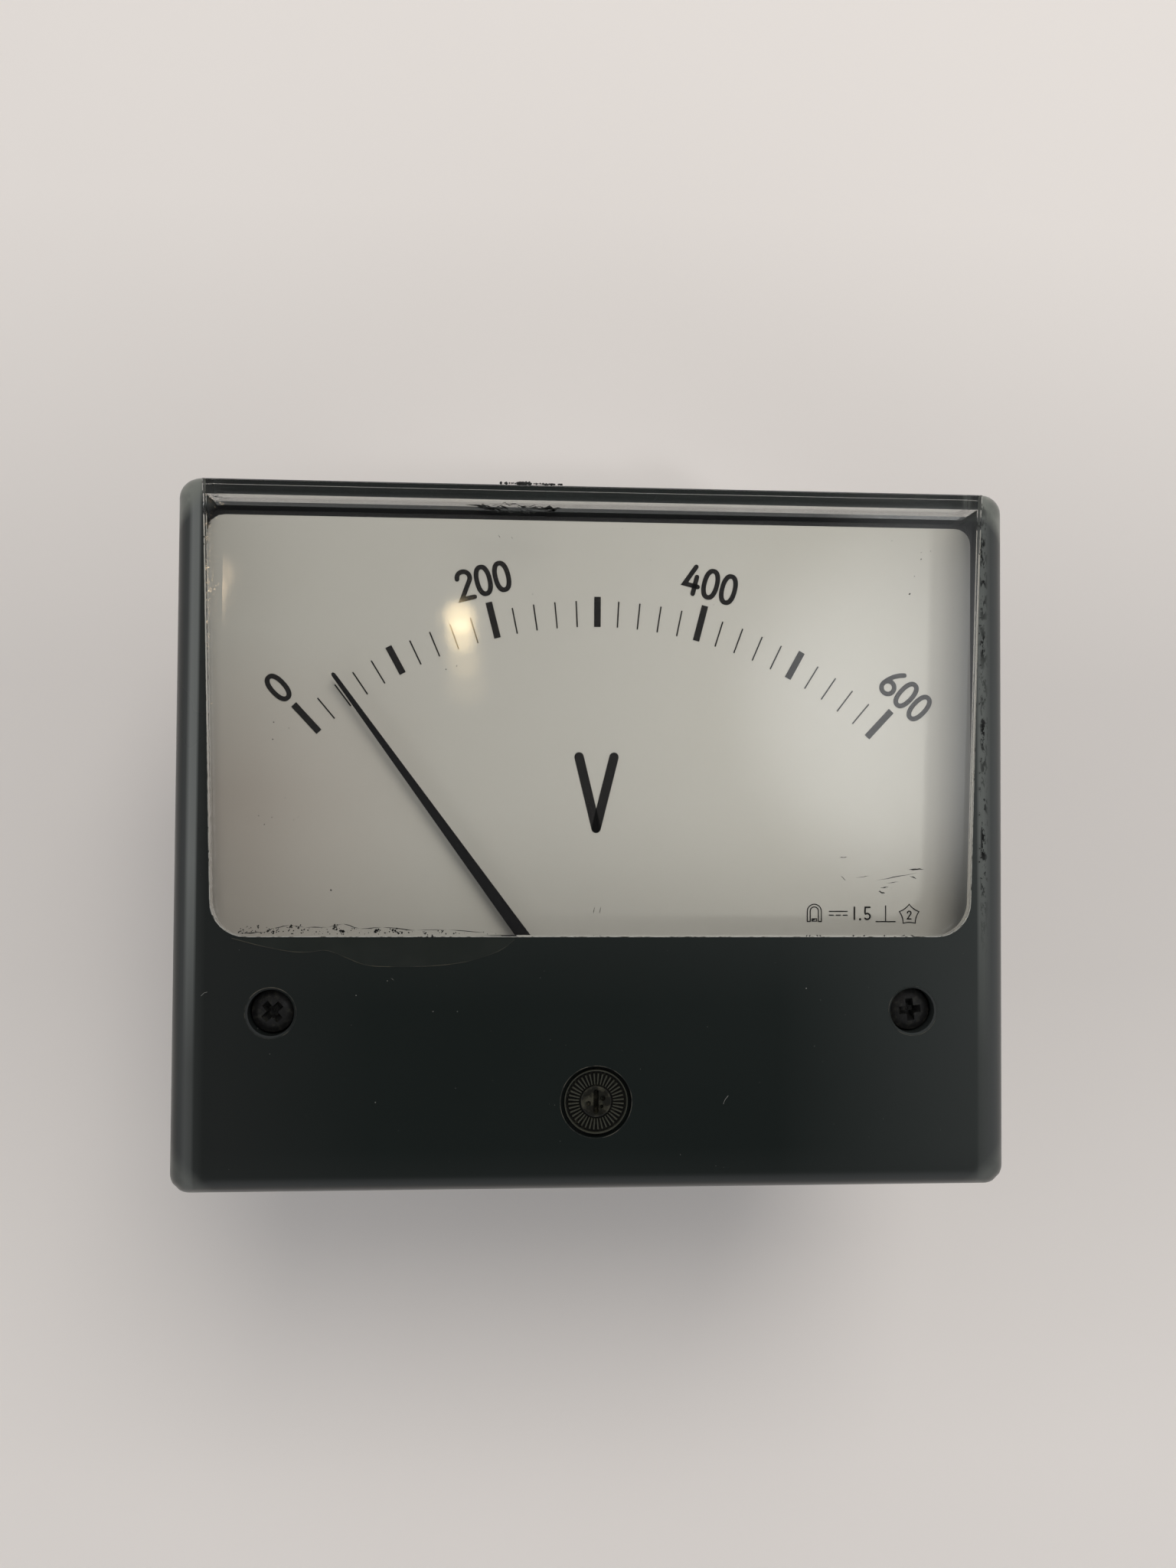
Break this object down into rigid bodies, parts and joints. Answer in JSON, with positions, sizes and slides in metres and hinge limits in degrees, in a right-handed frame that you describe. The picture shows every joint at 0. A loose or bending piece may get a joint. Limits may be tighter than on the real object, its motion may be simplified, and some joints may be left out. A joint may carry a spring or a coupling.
{
  "type": "panel voltmeter",
  "caption": "Rectangular moving-coil panel voltmeter with a clear front cover, white dial, black pointer, zero adjuster and round rear barrel.",
  "frame": {"origin": "centre of the rectangular front in X and Y, at the level of the rear barrier ribs that the meter stands on when it lies on its back", "axes": "+Z out of the dial towards the reader, +Y towards the top of the scale, +X towards the reader's right"},
  "size_m": [0.12, 0.1012, 0.078],
  "materials": {
    "clear_acrylic": "gloss",
    "black_phenolic": "satin",
    "dial_white": "satin",
    "black_screw": "satin",
    "bright_steel": "satin",
    "brass": "satin",
    "soft_iron": "matte",
    "magnet": "satin",
    "aluminium": "satin",
    "copper_wire": "gloss",
    "bronze_strip": "satin",
    "pointer_black": "matte",
    "jewel": "gloss",
    "olive_plastic": "satin",
    "circuit_board": "matte",
    "resistor_body": "satin",
    "wire_red": "satin",
    "wire_black": "satin",
    "gasket_rubber": "matte"
  },
  "bodies": {
    "case": {"front_cover": "clear_acrylic", "mounting_flange": "black_phenolic", "rear_barrel": "black_phenolic", "dial_plate": "dial_white", "cover_screw_left": "black_screw", "cover_screw_right": "black_screw", "dial_screw_left": "bright_steel", "dial_screw_right": "bright_steel", "board_screw_left": "bright_steel", "board_screw_right": "bright_steel", "movement_screw_left": "bright_steel", "movement_screw_right": "bright_steel", "stop_low": "bright_steel", "stop_high": "bright_steel", "solder_tag_minus": "bright_steel", "solder_tag_plus": "bright_steel", "mount_stud_lower_left": "bright_steel", "mount_nut_lower_left": "bright_steel", "mount_stud_lower_right": "bright_steel", "mount_nut_lower_right": "bright_steel", "mount_stud_upper_left": "bright_steel", "mount_nut_upper_left": "bright_steel", "mount_stud_upper_right": "bright_steel", "mount_nut_upper_right": "bright_steel", "core_spacer_upper": "brass", "core_spacer_lower": "brass", "rear_bridge": "brass", "front_bridge": "brass", "front_jewel_screw": "brass", "rear_jewel_screw": "brass", "terminal_stud_minus": "brass", "terminal_washer_minus": "brass", "terminal_nut_minus": "brass", "terminal_stud_plus": "brass", "terminal_washer_plus": "brass", "terminal_nut_plus": "brass", "yoke_ring": "soft_iron", "core_magnet": "magnet", "front_jewel": "jewel", "rear_jewel": "jewel", "adjuster_retainer": "gasket_rubber", "resistor_board": "circuit_board", "series_resistor_1": "resistor_body", "series_resistor_2": "resistor_body", "wire_plus": "wire_red", "wire_coil": "wire_red", "wire_minus": "wire_black"},
    "moving_coil": {"pointer": "pointer_black", "coil_former": "aluminium", "coil_winding": "copper_wire", "front_pivot": "bright_steel", "rear_pivot": "bright_steel", "balance_cross": "aluminium", "balance_weight_tail": "bronze_strip", "balance_weight_left": "bronze_strip", "balance_weight_right": "bronze_strip", "front_hairspring": "bronze_strip", "rear_hairspring": "bronze_strip"},
    "zero_lever": {"zero_lever": "aluminium"},
    "zero_adjuster": {"zero_adjuster": "olive_plastic"}
  },
  "joints": [
    {"name": "pointer_swing", "type": "hinge", "parent": "case", "child": "moving_coil", "pos_m": [0, -0.0289, 0.071], "axis": [0, 0, -1], "range_deg": [-9.2, 81.8], "stiffness_Nm_per_rad": 0.00005, "deforming": ["front_hairspring", "rear_hairspring"]},
    {"name": "zero_adjuster_turn", "type": "hinge", "parent": "case", "child": "zero_adjuster", "pos_m": [0, -0.0375, 0.077], "axis": [0, 0, 1], "range_deg": [-45, 45]},
    {"name": "zero_lever_turn", "type": "hinge", "parent": "case", "child": "zero_lever", "pos_m": [0, -0.0289, 0.0733], "axis": [0, 0, 1], "range_deg": [-7, 7]}
  ],
  "couplings": [
    {"joint": "zero_lever_turn", "follows": "zero_adjuster_turn", "ratio": -0.155}
  ]
}
